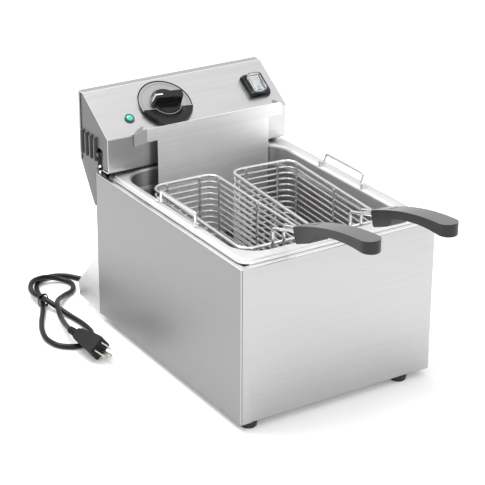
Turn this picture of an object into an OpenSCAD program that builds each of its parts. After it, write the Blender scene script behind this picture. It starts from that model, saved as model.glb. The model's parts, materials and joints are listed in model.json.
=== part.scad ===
// Countertop electric deep fryer: stainless housing, lift-out oil tank, two wire
// baskets and a lift-off control head that carries the heating elements.
// Millimetres, +Z up, +Y towards the back. The origin is on the bench, under the
// middle of the machine's own box.

/* [Housing] */
// Width of the housing
body_w = 270; // [262:1:290]
// Depth of the housing, front face to back face
body_d = 344; // [338:1:356]
// Height of the sheet-metal housing above its feet
body_h = 196; // [190:1:215]
// Height of the rubber feet
foot_h = 9; // [8:0.5:12]
// Thickness of the stainless sheet
sheet = 1.2; // [1:0.1:1.3]
// How far the two wall spacers stand out behind the housing
spacer_reach = 60; // [55:1:75]

/* [Oil tank] */
// Width of the tank's outer lip
tank_lip_w = 257; // [250:1:258]
// Width of the tank's opening
tank_open_w = 226; // [222:1:230]
// Depth of the tank from its rim to its floor
tank_depth = 154; // [150:1:165]
// Corner radius of the opening
tank_corner = 36; // [33:1:40]
// Height of the wire bail handles above their hinges
bail_h = 13; // [11:0.5:15]
// Lean of the right-hand bail, outwards
bail_lean = 18; // [0:1:20]

/* [Control head] */
// Width of the control head's casing
head_w = 262.6; // [258:0.2:264]
// Depth of the control head behind its front face
head_d = 78; // [76:1:84]
// Height of the control head, bottom to top
head_h = 88.5; // [85:0.5:95]
// Height of the upright part of the head's front
head_face_h = 45.5; // [43:0.5:48]
// Depth of the flat strip along the head's top
head_flat = 14; // [12:1:18]
// Width of the guard plate in front of the heating elements
guard_w = 164; // [156:1:168]
// How far the guard plate and the hanger rail sit to the right of the middle
guard_x = 15; // [10:1:16]

/* [Controls] */
// Diameter of the thermostat's dial
dial_d = 73; // [68:1:74]
// Turn of the dial's guard about the dial's middle
dial_turn = -5; // [-8:1:0]
// Diameter of the pilot lamp
lamp_d = 14; // [12:0.5:16]
// Rocking angle of the power switch, stop to stop
rock_angle = 16; // [10:1:18]

/* [Baskets] */
// Width of a basket over the middle of its wires
basket_w = 88; // [84:1:89]
// Length of a basket over the middle of its wires
basket_l = 222; // [212:1:224]
// Number of ring wires under the rim wire
ring_count = 14; // [8:1:14]
// Spacing of the ring wires
ring_pitch = 8; // [7:0.25:8]
// Radius of a basket's upright corners
basket_corner = 15; // [14:1:24]
// How far the left basket sits turned in the tank
left_turn = -1.5; // [-2:0.5:0]
// How far the right basket sits turned in the tank
right_turn = -3.5; // [-4:0.5:0]
// Length of a basket's grip
grip_l = 145; // [138:1:150]
// Width of a basket's grip
grip_w = 24; // [22:1:28]

/* [Mains lead] */
// Diameter of the mains lead
cord_d = 7; // [6.5:0.1:7.4]

/* [Hidden] */
$fn = 48;

steel = [0.80, 0.80, 0.81];
bright_steel = [0.88, 0.88, 0.89];
dull_steel = [0.62, 0.62, 0.63];
black_plastic = [0.13, 0.13, 0.14];
grip_plastic = [0.25, 0.25, 0.26];
rubber_black = [0.08, 0.08, 0.08];
lamp_green = [0.10, 0.65, 0.45];
ceramic = [0.90, 0.88, 0.82];
brass_yellow = [0.80, 0.65, 0.35];
splash_clear = [0.92, 0.93, 0.94];

// ---- Levels and depths worked out from the driving dimensions ----
// Depths (y) are measured back from the housing's front face until at_bench().
gap = 0.2;
body_top = foot_h + body_h;
lip_z = body_top + gap;
land_rise = 3;
land_z = lip_z + land_rise;
head_y = body_d - 28;
head_bottom = body_top + 6.5;
head_bend_z = head_bottom + head_face_h;
head_top = head_bottom + head_h;
head_back_y = head_y + head_d;
panel_run = head_d - head_flat;
panel_rise = head_top - head_bend_z;
panel_tilt = atan2(panel_rise, panel_run);
spacer_y = body_d + spacer_reach;
side_x = body_w / 2;
cheek_x = head_w / 2 - 1.3;

// ---- Baskets: places, wire sizes and levels ----
left_spot = [-56, 157];
right_spot = [51, 149.5];
rim_r = 2.2;
ring_r = 1.4;
upright_r = 1.6;
weld = 0.2;
rim_z = body_top - 1;
basket_floor_z = rim_z - ring_pitch * (ring_count + 1);
root_y = -basket_l / 2 - 52;
root_z = rim_z + 41.5;

// The machine's front-to-back extent runs from the right grip's tip to the spacers.
grip_end = root_y - grip_l + grip_w / 2;
front_reach = right_spot[1] + grip_end * cos(right_turn) - grip_w / 2;
front_y = -(spacer_y + front_reach) / 2;

// ---- General shapes ----
module at_bench() { translate([0, front_y, 0]) children(); }

function dir(a, b) = (b - a) / norm(b - a);
function left_of(d) = [-d[1], d[0]];
function turn2(d, a) = [d[0] * cos(a) - d[1] * sin(a), d[0] * sin(a) + d[1] * cos(a)];

// One face of a bent sheet round the corner q, at the distance off from the drawn path.
function bend_arc(p, q, r, rad, off, steps = 5) =
  let (
    d1 = dir(p, q),
    d2 = dir(q, r),
    side = sign(d1[0] * d2[1] - d1[1] * d2[0]),
    turn = acos(d1 * d2),
    middle = q - d1 * rad * tan(turn / 2) + left_of(d1) * side * rad
  )
  [for (i = [0 : steps]) middle + left_of(turn2(d1, side * turn * i / steps)) * (off - side * rad)];

// rad is one bend radius for every corner, or a list with one for each.
function sheet_face(pts, rad, off) = concat(
  [pts[0] + left_of(dir(pts[0], pts[1])) * off],
  [for (i = [1 : 1 : len(pts) - 2])
    each bend_arc(pts[i - 1], pts[i], pts[i + 1], is_list(rad) ? rad[i - 1] : rad, off)],
  [pts[len(pts) - 1] + left_of(dir(pts[len(pts) - 2], pts[len(pts) - 1])) * off]
);

function reversed(list) = [for (i = [len(list) - 1 : -1 : 0]) list[i]];

// A sheet of thickness t folded along a path, drawn as its cut edge. t is laid off to the left.
module folded(pts, rad, t) {
  polygon(concat(sheet_face(pts, rad, 0), reversed(sheet_face(pts, rad, t))));
}

// Stands a profile drawn in (y, z) across the machine, from x0 to x1.
module across(x0, x1) {
  translate([x0, 0, 0]) rotate([90, 0, 90]) linear_extrude(x1 - x0) children();
}

module slab(x0, x1, y0, y1, z0, z1) {
  translate([x0, y0, z0]) cube([x1 - x0, y1 - y0, z1 - z0]);
}

// A rectangle with round corners, centred in x, from y0 to y1.
module round_rect(w, y0, y1, r) {
  union() {
    translate([-w / 2 + r, y0]) square([w - 2 * r, y1 - y0]);
    translate([-w / 2, y0 + r]) square([w, y1 - y0 - 2 * r]);
    for (x = [-w / 2 + r, w / 2 - r], y = [y0 + r, y1 - r]) translate([x, y]) circle(r);
  }
}

module rod(a, b, r) {
  d = b - a;
  tip = acos(max(-1, min(1, d[2] / norm(d))));
  translate(a) rotate([0, tip, atan2(d[1], d[0])]) cylinder(h = norm(d), r = r);
}

function corner_angle(a, b, c) = acos(max(-1, min(1, dir(a, b) * dir(b, c))));

module elbow(a, b, c, r, bend) {
  turn = corner_angle(a, b, c);
  d1 = dir(a, b);
  d2 = dir(b, c);
  inward = (d2 - d1 * (d1 * d2)) / norm(d2 - d1 * (d1 * d2));
  axis = cross(d1, inward);
  middle = b - d1 * bend * tan(turn / 2) + inward * bend;
  multmatrix([
    [-inward[0], d1[0], axis[0], middle[0]],
    [-inward[1], d1[1], axis[1], middle[1]],
    [-inward[2], d1[2], axis[2], middle[2]],
    [0, 0, 0, 1]
  ]) rotate_extrude(angle = turn) translate([bend, 0]) circle(r);
}

// Round wire or tube along straight runs, with bends of one radius.
module bent_wire(pts, r, bend) {
  last = len(pts) - 1;
  trim = [for (i = [0 : last])
    (i == 0 || i == last) ? 0 : bend * tan(corner_angle(pts[i - 1], pts[i], pts[i + 1]) / 2)];
  for (i = [0 : last - 1]) {
    d = dir(pts[i], pts[i + 1]);
    rod(pts[i] + d * trim[i], pts[i + 1] - d * trim[i + 1], r);
  }
  for (i = [1 : 1 : last - 1]) elbow(pts[i - 1], pts[i], pts[i + 1], r, bend);
}

// Places a control on the sloping panel: x across, s up the slope from the front bend.
module on_panel(x, s) {
  translate([x, head_y, head_bend_z]) rotate([panel_tilt, 0, 0]) translate([0, s, 0]) children();
}

// ---- Housing ----
flange_w = 8;
// Front feet sit under the housing's edges; x, y
front_feet = [[-side_x + 17.5, 11.5], [side_x - 37, 11.5]];
rear_feet = [[-side_x + 25, body_d - 26], [side_x - 25, body_d - 26]];
screw_r = 2;
seam = 0.3;

module front_panel() {
  inner_x = side_x - 14 - seam;
  color(bright_steel) at_bench() union() {
    difference() {
      across(-inner_x, inner_x) folded([
        [18, foot_h], [0, foot_h], [0, body_top], [flange_w, body_top]
      ], 1.5, -sheet);
      for (p = front_feet) translate([p[0], p[1], foot_h - 1]) cylinder(h = 4, r = screw_r + 0.1);
    }
    for (x = [-side_x, inner_x - 1]) slab(x, x + side_x - inner_x + 1, 0, sheet, foot_h, body_top);
    for (x = [-side_x + flange_w + seam, inner_x - 1])
      slab(x, x + side_x - flange_w - seam - inner_x + 1, 0.5, flange_w, body_top - sheet, body_top);
  }
}

// One side panel, standing on the right; the left one is its mirror image.
module side_panel() {
  translate([0, body_d, 0]) rotate([90, 0, 0])
    linear_extrude(body_d - sheet - seam)
      folded([[side_x - 14, foot_h], [side_x, foot_h], [side_x, body_top], [side_x - flange_w, body_top]],
        1.5, sheet);
}

module left_panel() {
  color(steel) at_bench() mirror([1, 0, 0]) side_panel();
}

module right_panel() {
  color(steel) at_bench() side_panel();
}

bracket_rivets = [for (x = [-90, 90]) [x, body_top - 30]];
spacer_rivets = [for (x = [-side_x + 10, side_x - 10], z = [30, 72]) [x, z]];

module back_panel() {
  inner_x = side_x - sheet - 0.1;
  color(steel) at_bench() difference() {
    across(-inner_x, inner_x) folded([
      [body_d - 14, foot_h + sheet + 0.1],
      [body_d, foot_h + sheet + 0.1],
      [body_d, body_top - sheet - 0.1],
      [body_d - flange_w, body_top - sheet - 0.1]
    ], 1.5, sheet);
    for (p = concat(bracket_rivets, spacer_rivets))
      translate([p[0], body_d - 3, p[1]]) rotate([-90, 0, 0]) cylinder(h = 6, r = 1.7);
  }
}

module base_plate() {
  z0 = foot_h + sheet * 2 + 0.3;
  inner_x = side_x - sheet - 0.2;
  color(dull_steel) at_bench() difference() {
    slab(-inner_x, inner_x, sheet + 0.4, body_d - sheet - 0.2, z0, z0 + sheet);
    for (p = concat(front_feet, rear_feet))
      translate([p[0], p[1], z0 - 1]) cylinder(h = 4, r = screw_r + 0.1);
    // Three rows of vent slots under the tank
    for (x = [-60, 0, 60], y = [90 : 18 : 250]) {
      slab(x - 16, x + 16, y - 2.5, y + 2.5, z0 - 1, z0 + 3);
      for (e = [-16, 16]) translate([x + e, y, z0 - 1]) cylinder(h = 4, r = 2.5);
    }
  }
}

module rubber_feet() {
  color(rubber_black) at_bench() for (i = [0, 1], p = i == 0 ? front_feet : rear_feet)
    translate([p[0], p[1], 0]) difference() {
      union() {
        cylinder(h = 1.5, r1 = 9.2, r2 = 10.2);
        translate([0, 0, 1.5]) cylinder(h = foot_h - 1.5, r1 = 10.2, r2 = 11.2);
        // The rear pair has a boss up to the base plate
        if (i == 1) translate([0, 0, foot_h]) cylinder(h = sheet * 2 + 0.3, r = 5);
      }
      translate([0, 0, -1]) cylinder(h = 5, r = 4.6);
      cylinder(h = foot_h * 2, r = screw_r + 0.1);
    }
}

module foot_screws() {
  color(dull_steel) at_bench() for (p = concat(front_feet, rear_feet)) translate([p[0], p[1], 0]) {
    union() {
      translate([0, 0, 1.6]) cylinder(h = 2.4, r1 = 3.2, r2 = 4);
      translate([0, 0, 4]) cylinder(h = 14, r = screw_r);
      translate([0, 0, foot_h + sheet * 3 + 0.4]) cylinder(h = 3, r = 3.8, $fn = 6);
    }
  }
}

// Bent sheet cheek with a flange on the housing's back and a stiffening lip at its far edge.
module rear_spacer() {
  low = foot_h + 0.5;
  outline = [[body_d + 0.2, low], [spacer_y - 3, low + 4], [spacer_y, low + 22], [body_d + 0.2, low + 86]];
  difference() {
    union() {
      across(side_x - sheet - 0.1, side_x - 0.1) polygon(outline);
      slab(side_x - 18, side_x - sheet - 0.1, body_d + 0.2, body_d + 0.2 + sheet, low + 3, low + 80);
      slab(side_x - 12, side_x - sheet - 0.1, spacer_y - 4.2, spacer_y - 3, low + 5, low + 20);
    }
    for (z = [30, 72])
      translate([side_x - 10, body_d - 1, z]) rotate([-90, 0, 0]) cylinder(h = 6, r = 1.7);
  }
}

module rear_spacers() {
  color(steel) at_bench() {
    rear_spacer();
    mirror([1, 0, 0]) rear_spacer();
  }
}

ear_x = cheek_x - 3.6;
stud_y = body_d + 0.6;
stud_zs = [body_top + 4.6, body_top + 24.2];

// Upright web behind the housing, with an ear and two studs at each end. The head hooks over it.
module head_bracket() {
  web_y = body_d + 0.2;
  ear_top = body_top + 29;
  color(steel) at_bench() difference() {
    union() {
      slab(-ear_x, ear_x, web_y, web_y + 1.5, body_top - 48, ear_top);
      for (m = [0, 1]) mirror([m, 0, 0]) {
        slab(ear_x - 1.5, ear_x, body_d - 9, web_y + 1.5, body_top + 0.6, ear_top);
        for (z = stud_zs) translate([ear_x - 0.1, stud_y - 1.5, z]) rotate([0, 90, 0]) {
          cylinder(h = 5.2, r = 2);
          translate([0, 0, 5.2]) cylinder(h = 1.2, r1 = 3.2, r2 = 2.4);
        }
      }
    }
    for (p = bracket_rivets)
      translate([p[0], body_d - 1, p[1]]) rotate([-90, 0, 0]) cylinder(h = 6, r = 1.7);
    // Wiring window in the middle of the web
    slab(-40, 40, web_y - 1, web_y + 3, body_top + 4, ear_top - 6);
  }
}

module rivet(x, z) {
  translate([x, body_d - 3.2, z]) rotate([-90, 0, 0]) union() {
    cylinder(h = 6, r = 1.6);
    cylinder(h = 2, r = 2.6);
    translate([0, 0, 4.95]) cylinder(h = 1.1, r1 = 3.4, r2 = 2);
  }
}

module rear_rivets() {
  color(bright_steel) at_bench() for (p = concat(bracket_rivets, spacer_rivets)) rivet(p[0], p[1]);
}

// ---- Oil tank ----
tank_y0 = 29.5;
tank_y1 = 318;
tank_t = 1.2;
shoulder_drop = 24;
shoulder_in = 2.5;

// A profile drawn outwards from the opening's edge, swept once round the opening.
module round_opening(w, y0, y1, r) {
  for (m = [0, 1]) mirror([m, 0, 0]) {
    translate([w / 2, y1 - r, 0]) rotate([90, 0, 0]) linear_extrude(y1 - y0 - 2 * r) children();
    translate([w / 2 - r, y0 + r, 0]) rotate([0, 0, -90]) rotate_extrude(angle = 90) translate([r, 0]) children();
    translate([w / 2 - r, y1 - r, 0]) rotate_extrude(angle = 90) translate([r, 0]) children();
  }
  translate([-w / 2 + r, y0, 0]) rotate([90, 0, 90])
    linear_extrude(w - 2 * r) mirror([1, 0]) children();
  translate([w / 2 - r, y1, 0]) rotate([90, 0, -90])
    linear_extrude(w - 2 * r) mirror([1, 0]) children();
}

// Section of the tank's wall: rolled edge, upper wall, shoulder and lower wall down to its floor bend.
module tank_section() {
  folded([
    [4, 0],
    [0, 0],
    [0, -shoulder_drop],
    [-shoulder_in, -shoulder_drop - 3],
    [-shoulder_in, -tank_depth],
    [-shoulder_in - 16, -tank_depth]
  ], [3.5, 2, 2, 12], tank_t);
}

module oil_tank() {
  floor_in = shoulder_in + 15.5;
  color(steel) at_bench() union() {
    // Flat lip that rests on the housing's flanges, with a raised land inside it
    translate([0, 0, lip_z]) difference() {
      union() {
        linear_extrude(sheet) round_rect(tank_lip_w, 7, 331, 15);
        linear_extrude(land_rise) round_rect(tank_lip_w - 13, 13.5, 325, 11);
      }
      translate([0, 0, -1]) linear_extrude(land_rise + 1 - sheet)
        round_rect(tank_lip_w - 13 - 2 * sheet, 13.5 + sheet, 325 - sheet, 9.8);
      translate([0, 0, -1]) linear_extrude(land_rise + 2)
        round_rect(tank_open_w + 7, tank_y0 - 3.5, tank_y1 + 3.5, tank_corner + 3.5);
    }
    translate([0, 0, land_z]) round_opening(tank_open_w, tank_y0, tank_y1, tank_corner)
      tank_section();
    translate([0, 0, land_z - tank_depth - tank_t]) linear_extrude(tank_t)
      round_rect(tank_open_w - 2 * floor_in, tank_y0 + floor_in, tank_y1 - floor_in, tank_corner - floor_in);
  }
}

bail_x = 118;
bail_ys = [127, 207];
bail_r = 1.75;
clip_r = 3;
hinge_z = land_z + clip_r + 0.2;
stub = 8;

module bail_clip(x, y0, y1) {
  difference() {
    union() {
      translate([x, y0, hinge_z]) rotate([-90, 0, 0]) cylinder(h = y1 - y0, r = clip_r);
      slab(x - 4.5, x + 4.5, y0, y1, land_z, land_z + 1.2);
    }
    translate([x, y0 - 1, hinge_z]) rotate([-90, 0, 0]) cylinder(h = y1 - y0 + 2, r = bail_r + 0.06);
  }
}

module bail_clips() {
  color(bright_steel) at_bench() for (x = [-bail_x, bail_x]) {
    bail_clip(x, bail_ys[0] - stub, bail_ys[0] - 2.2);
    bail_clip(x, bail_ys[1] + 2.2, bail_ys[1] + stub);
  }
}

// Springy wire loop whose ends turn outwards into the clips.
module bail(x, lean) {
  translate([x, 0, hinge_z]) rotate([0, lean, 0]) bent_wire([
    [0, bail_ys[0] - stub, 0],
    [0, bail_ys[0], 0],
    [0, bail_ys[0], bail_h],
    [0, bail_ys[1], bail_h],
    [0, bail_ys[1], 0],
    [0, bail_ys[1] + stub, 0]
  ], bail_r, 2);
}

module left_bail() {
  color(bright_steel) at_bench() bail(-bail_x, 0);
}

module right_bail() {
  color(bright_steel) at_bench() bail(bail_x, bail_lean);
}

// ---- Control head ----
dial_spot = [-33, 36];
lamp_spot = [-89, 25];
switch_spot = [102, 35.5];
bush_r = 5;
shaft_r = 3;
frame_size = [31, 35];
cord_exit = [-70, head_y + 56];
limiter_spot = [62, head_bottom + 40];
button_r = 3.6;

module head_casing() {
  half = head_w / 2;
  color(steel) at_bench() difference() {
    across(-half, half) folded([
      [head_y + 15, head_bottom],
      [head_y, head_bottom],
      [head_y, head_bend_z],
      [head_back_y - head_flat, head_top],
      [head_back_y - sheet - 0.2, head_top]
    ], 3, -sheet);
    on_panel(dial_spot[0], dial_spot[1]) translate([0, 0, -5]) cylinder(h = 10, r = bush_r + 0.1);
    on_panel(lamp_spot[0], lamp_spot[1]) translate([0, 0, -5]) cylinder(h = 10, r = 5.1);
    on_panel(switch_spot[0], switch_spot[1]) translate([0, 0, -2])
      cube([frame_size[0] - 6.6, frame_size[1] - 5.6, 8], center = true);
    // Holes behind the guard plate for the elements and the sensors
    for (x = element_xs) translate([x, head_y - 1, head_bottom + 22]) rotate([-90, 0, 0])
      cylinder(h = 5, r = element_r + 0.1);
    for (x = bulb_xs) translate([x, head_y - 1, head_bottom + 22]) rotate([-90, 0, 0])
      cylinder(h = 5, r = 1.6);
  }
}

louvre_ys = [for (i = [0 : 3]) head_y + 34.5 + i * 11.6];
louvre_z = [head_bottom + 10, head_bottom + 36];

// A capsule standing half out of the cheek, pressed from its sheet.
module louvre_capsule(r) {
  translate([0, 0, louvre_z[0]]) sphere(r);
  translate([0, 0, louvre_z[1]]) sphere(r);
  translate([0, 0, louvre_z[0]]) cylinder(h = louvre_z[1] - louvre_z[0], r = r);
}

// Cheek of the head on the right: a tail reaches down behind the housing, and a slot
// that is open at the bottom lets the head lift straight off the bracket's studs.
module head_side() {
  inset = sheet + 0.15;
  rise = panel_rise / panel_run;
  cut = inset / cos(panel_tilt);
  back = head_back_y - sheet - 0.2;
  x0 = cheek_x - sheet;
  slot_y = [head_y + 17, body_d + 3];
  slot_r = 3;
  difference() {
    union() {
      difference() {
        across(x0, cheek_x) polygon([
          [head_y + inset, head_bottom + inset],
          [head_y + inset, head_bend_z + inset * rise - cut],
          [head_y + panel_run - (inset - cut) / rise, head_top - inset],
          [back, head_top - inset],
          [back, head_bottom - 4],
          [body_d + 15, body_top - 49],
          [body_d + 3, body_top - 48],
          [body_d + 3, head_bottom + inset]
        ]);
        for (y = louvre_ys) translate([x0 - 1, y, louvre_z[0]]) {
          slab(0, 4, -2.2, 2.2, 0, louvre_z[1] - louvre_z[0]);
        }
      }
      for (y = louvre_ys) translate([cheek_x, y, 0]) difference() {
        louvre_capsule(3.6);
        louvre_capsule(2.6);
        slab(-10, -0.6, -10, 10, 0, 400);
        // The air gap along the rear edge of each louvre
        slab(-1, 2.2, 0.8, 5, louvre_z[0], louvre_z[1]);
      }
    }
    slab(x0 - 1, cheek_x + 1, slot_y[0], slot_y[1], head_bottom - 60, body_top + 33 - slot_r);
    for (y = [slot_y[0] + slot_r, slot_y[1] - slot_r])
      translate([x0 - 1, y, body_top + 33 - slot_r]) rotate([0, 90, 0]) cylinder(h = 4, r = slot_r);
    slab(x0 - 1, cheek_x + 1, slot_y[0] + slot_r, slot_y[1] - slot_r, body_top + 20, body_top + 33);
  }
}

module head_left_side() {
  color(steel) at_bench() mirror([1, 0, 0]) head_side();
}

module head_right_side() {
  color(steel) at_bench() head_side();
}

cover_holes = [for (x = [-118, 118], z = [head_bottom + 8, head_top - 12]) [x, z]];

module head_back_cover() {
  half = head_w / 2;
  low = head_bottom - 3;
  color(steel) at_bench() difference() {
    translate([0, 0, low]) linear_extrude(head_top - sheet - 0.4 - low) folded([
      [-half, head_back_y - 4.8],
      [-half, head_back_y],
      [half, head_back_y],
      [half, head_back_y - 4.8]
    ], 1.5, -1.1);
    for (p = cover_holes)
      translate([p[0], head_back_y - 3, p[1]]) rotate([-90, 0, 0]) cylinder(h = 6, r = 1.7);
    translate([limiter_spot[0], head_back_y - 3, limiter_spot[1]]) rotate([-90, 0, 0])
      cylinder(h = 6, r = button_r + 0.4);
    // Two rows of vent slots
    for (x = [-60 : 10 : 20], z = [head_bottom + 30, head_bottom + 55])
      slab(x - 1.5, x + 1.5, head_back_y - 3, head_back_y + 3, z - 7, z + 7);
  }
}

// Floor of the head's overhang behind the housing; the mains lead leaves through it.
module head_bottom_plate() {
  inner_x = cheek_x - sheet - 0.2;
  y0 = body_d + 5;
  color(dull_steel) at_bench() difference() {
    across(-inner_x, inner_x) folded([
      [y0, head_bottom + 12],
      [y0, head_bottom],
      [head_back_y - 1.4, head_bottom],
      [head_back_y - 1.4, head_bottom + 14]
    ], 1.5, sheet);
    translate([cord_exit[0], cord_exit[1], head_bottom - 2]) cylinder(h = 6, r = 7.2);
    for (p = [cover_holes[0], cover_holes[2]])
      translate([p[0], head_back_y - 5, p[1]]) rotate([-90, 0, 0]) cylinder(h = 6, r = 1.7);
  }
}

module cover_screws() {
  color(bright_steel) at_bench() for (p = cover_holes)
    translate([p[0], head_back_y, p[1]]) rotate([-90, 0, 0]) difference() {
      union() {
        translate([0, 0, -7]) cylinder(h = 7, r = 1.6);
        cylinder(h = 1, r = 3.4);
        translate([0, 0, 1]) cylinder(h = 0.8, r1 = 3.2, r2 = 2);
      }
      for (a = [0, 90]) rotate([0, 0, a]) translate([-0.4, -2, 0.9]) cube([0.8, 4, 2]);
    }
}

hanger_z = head_bottom + 38.5;
hanger_h = 17;
hanger_rise = 10;
hanger_out = 15;
hanger_half = 98;

// Hook rail for draining baskets: each end leaves the head's face and rises to the rail.
module basket_hanger() {
  foot = hanger_half + hanger_out;
  face = head_y - 0.1;
  high = hanger_z + hanger_h;
  color(bright_steel) at_bench() translate([guard_x - 1, 0, 0]) intersection() {
    translate([0, 0, hanger_z - hanger_rise - 1]) linear_extrude(hanger_h + hanger_rise + 2) folded([
      [hanger_half - 2, face], [foot, face], [hanger_half, face - hanger_out],
      [-hanger_half, face - hanger_out], [-foot, face], [2 - hanger_half, face]
    ], 2, -sheet);
    translate([0, head_y, 0]) rotate([90, 0, 0]) linear_extrude(hanger_out * 2) polygon([
      [-foot - 1, hanger_z - hanger_rise], [-foot, hanger_z - hanger_rise], [-hanger_half, hanger_z],
      [hanger_half, hanger_z], [foot, hanger_z - hanger_rise], [foot + 1, hanger_z - hanger_rise],
      [foot + 1, high - hanger_rise], [foot, high - hanger_rise], [hanger_half, high],
      [-hanger_half, high], [-foot, high - hanger_rise], [-foot - 1, high - hanger_rise]
    ]);
  }
}

guard_y = head_y - 12.2;
guard_low = basket_floor_z + 18;

module guard_plate() {
  color(steel) at_bench() translate([guard_x, 0, 0]) across(-guard_w / 2, guard_w / 2)
    folded([[head_y - 0.1, hanger_z + 5], [guard_y, hanger_z + 5], [guard_y, guard_low]], 2, sheet);
}

element_r = 3.3;
element_xs = [guard_x - 66, guard_x - 20, guard_x + 28, guard_x + 68];
element_z = land_z - tank_depth + 14;
riser_y = head_y - 6.4;
bulb_xs = [guard_x - 2, guard_x + 12];
bulb_r = 3;

// One heating tube: out of the head, down behind the guard plate, and a hairpin over the tank's floor.
module element(x0, x1) {
  far = 70;
  top = head_bottom + 22;
  bent_wire([
    [x0, head_y + 16, top],
    [x0, riser_y, top],
    [x0, riser_y, element_z],
    [x0, far, element_z],
    [x1, far, element_z],
    [x1, riser_y, element_z],
    [x1, riser_y, top],
    [x1, head_y + 16, top]
  ], element_r, 9);
}

module heating_elements() {
  color(dull_steel) at_bench() {
    element(element_xs[0], element_xs[1]);
    element(element_xs[2], element_xs[3]);
  }
}

module sensor_bulbs() {
  low = element_z + 24;
  high = low + 80;
  color(brass_yellow) at_bench() for (x = bulb_xs) union() {
    translate([x, riser_y, low]) cylinder(h = 80, r = bulb_r);
    translate([x, riser_y, low]) sphere(bulb_r);
    translate([x, riser_y, high]) cylinder(h = 4, r1 = bulb_r, r2 = 1);
    bent_wire([[x, riser_y, high + 3], [x, riser_y, head_bottom + 22], [x, head_y + 12, head_bottom + 22]], 1, 5);
  }
}

// Notched bar that holds the heating tubes and the sensors apart.
module sensor_clamp() {
  x0 = element_xs[0] - 7;
  x1 = element_xs[3] + 7;
  z0 = element_z + 70;
  color(steel) at_bench() difference() {
    slab(x0, x1, guard_y + sheet + 0.1, riser_y + 1, z0, z0 + 4);
    for (x = element_xs) translate([x, riser_y, z0 - 1]) cylinder(h = 6, r = element_r + 0.05);
    for (x = bulb_xs) translate([x, riser_y, z0 - 1]) cylinder(h = 6, r = bulb_r + 0.05);
  }
}

// ---- Controls inside the head ----
module thermostat() {
  color(ceramic) at_bench() on_panel(dial_spot[0], dial_spot[1]) difference() {
    union() {
      translate([-18, -17, -27]) cube([36, 34, 25]);
      translate([-12, -12, -31]) cube([24, 24, 4.5]);
      translate([0, 0, -2.2]) cylinder(h = 4, r = bush_r);
    }
    translate([0, 0, -14]) cylinder(h = 20, r = shaft_r + 0.05);
  }
}

module limiter() {
  color(ceramic) at_bench() translate([limiter_spot[0], head_back_y - 1.3, limiter_spot[1]])
    rotate([90, 0, 0]) difference() {
      union() {
        cylinder(h = 22, r = 14);
        translate([-9, -9, 22]) cube([18, 18, 6]);
      }
      translate([0, 0, -1]) cylinder(h = 11, r = button_r + 0.05);
    }
}

module terminal_block() {
  z0 = head_bottom + sheet + 0.1;
  color(ceramic) at_bench() difference() {
    slab(-30, 30, body_d + 12, body_d + 36, z0, z0 + 20);
    for (x = [-22 : 11 : 22]) {
      slab(x - 4, x + 4, body_d + 11, body_d + 17, z0 + 6, z0 + 21);
      translate([x, body_d + 26, z0 + 10]) cylinder(h = 20, r = 2.5);
    }
  }
}

module lamp_bezel() {
  color(lamp_green) at_bench() on_panel(lamp_spot[0], lamp_spot[1]) difference() {
    union() {
      translate([0, 0, -20]) cylinder(h = 20.5, r = 5);
      translate([0, 0, 0.1]) cylinder(h = 1.6, r1 = lamp_d / 2, r2 = lamp_d / 2 - 0.6);
    }
    translate([0, 0, -1]) cylinder(h = 6, r = lamp_d / 2 - 2.4);
  }
}

module lamp_lens() {
  r = lamp_d / 2 - 2.5;
  ball = 7;
  color(lamp_green) at_bench() on_panel(lamp_spot[0], lamp_spot[1]) union() {
    translate([0, 0, -0.9]) cylinder(h = 3, r = r);
    translate([0, 0, 2.1]) intersection() {
      translate([0, 0, -sqrt(ball * ball - r * r)]) sphere(ball);
      cylinder(h = 10, r = r + 1);
    }
  }
}

dial_r = dial_d / 2;
guard_chord = -10.5;
guard_rise = 7;

// Black ring round the dial; below the dial it rises into a guard for the knob.
module dial_bezel() {
  color(black_plastic) at_bench() on_panel(dial_spot[0], dial_spot[1]) rotate([0, 0, dial_turn])
    difference() {
      union() {
        translate([0, 0, 0.1]) cylinder(h = 2.4, r = dial_r, $fn = 96);
        intersection() {
          translate([0, 0, 0.1]) cylinder(h = guard_rise, r1 = dial_r, r2 = dial_r - 1, $fn = 96);
          translate([-dial_r, -dial_r, 0]) cube([2 * dial_r, dial_r + guard_chord, guard_rise + 1]);
        }
      }
      difference() {
        translate([0, 0, 1.2]) cylinder(h = 10, r = dial_r - 1.5, $fn = 96);
        translate([-dial_r, -2 * dial_r + guard_chord, 0]) cube([2 * dial_r, 2 * dial_r, 12]);
      }
      translate([0, 0, -1]) cylinder(h = 12, r = bush_r + 0.2);
      translate([0, 0, 3]) cylinder(h = 12, r = 20.8, $fn = 96);
    }
}

module dial_plate() {
  color(bright_steel) at_bench() on_panel(dial_spot[0], dial_spot[1]) rotate([0, 0, dial_turn])
    difference() {
      translate([0, 0, 1.25]) cylinder(h = 0.9, r = dial_r - 1.7, $fn = 96);
      translate([-dial_r, -2 * dial_r + guard_chord + 0.15, 0]) cube([2 * dial_r, 2 * dial_r, 12]);
      cylinder(h = 12, r = bush_r + 0.3);
    }
}

knob_r = 20;

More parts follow.
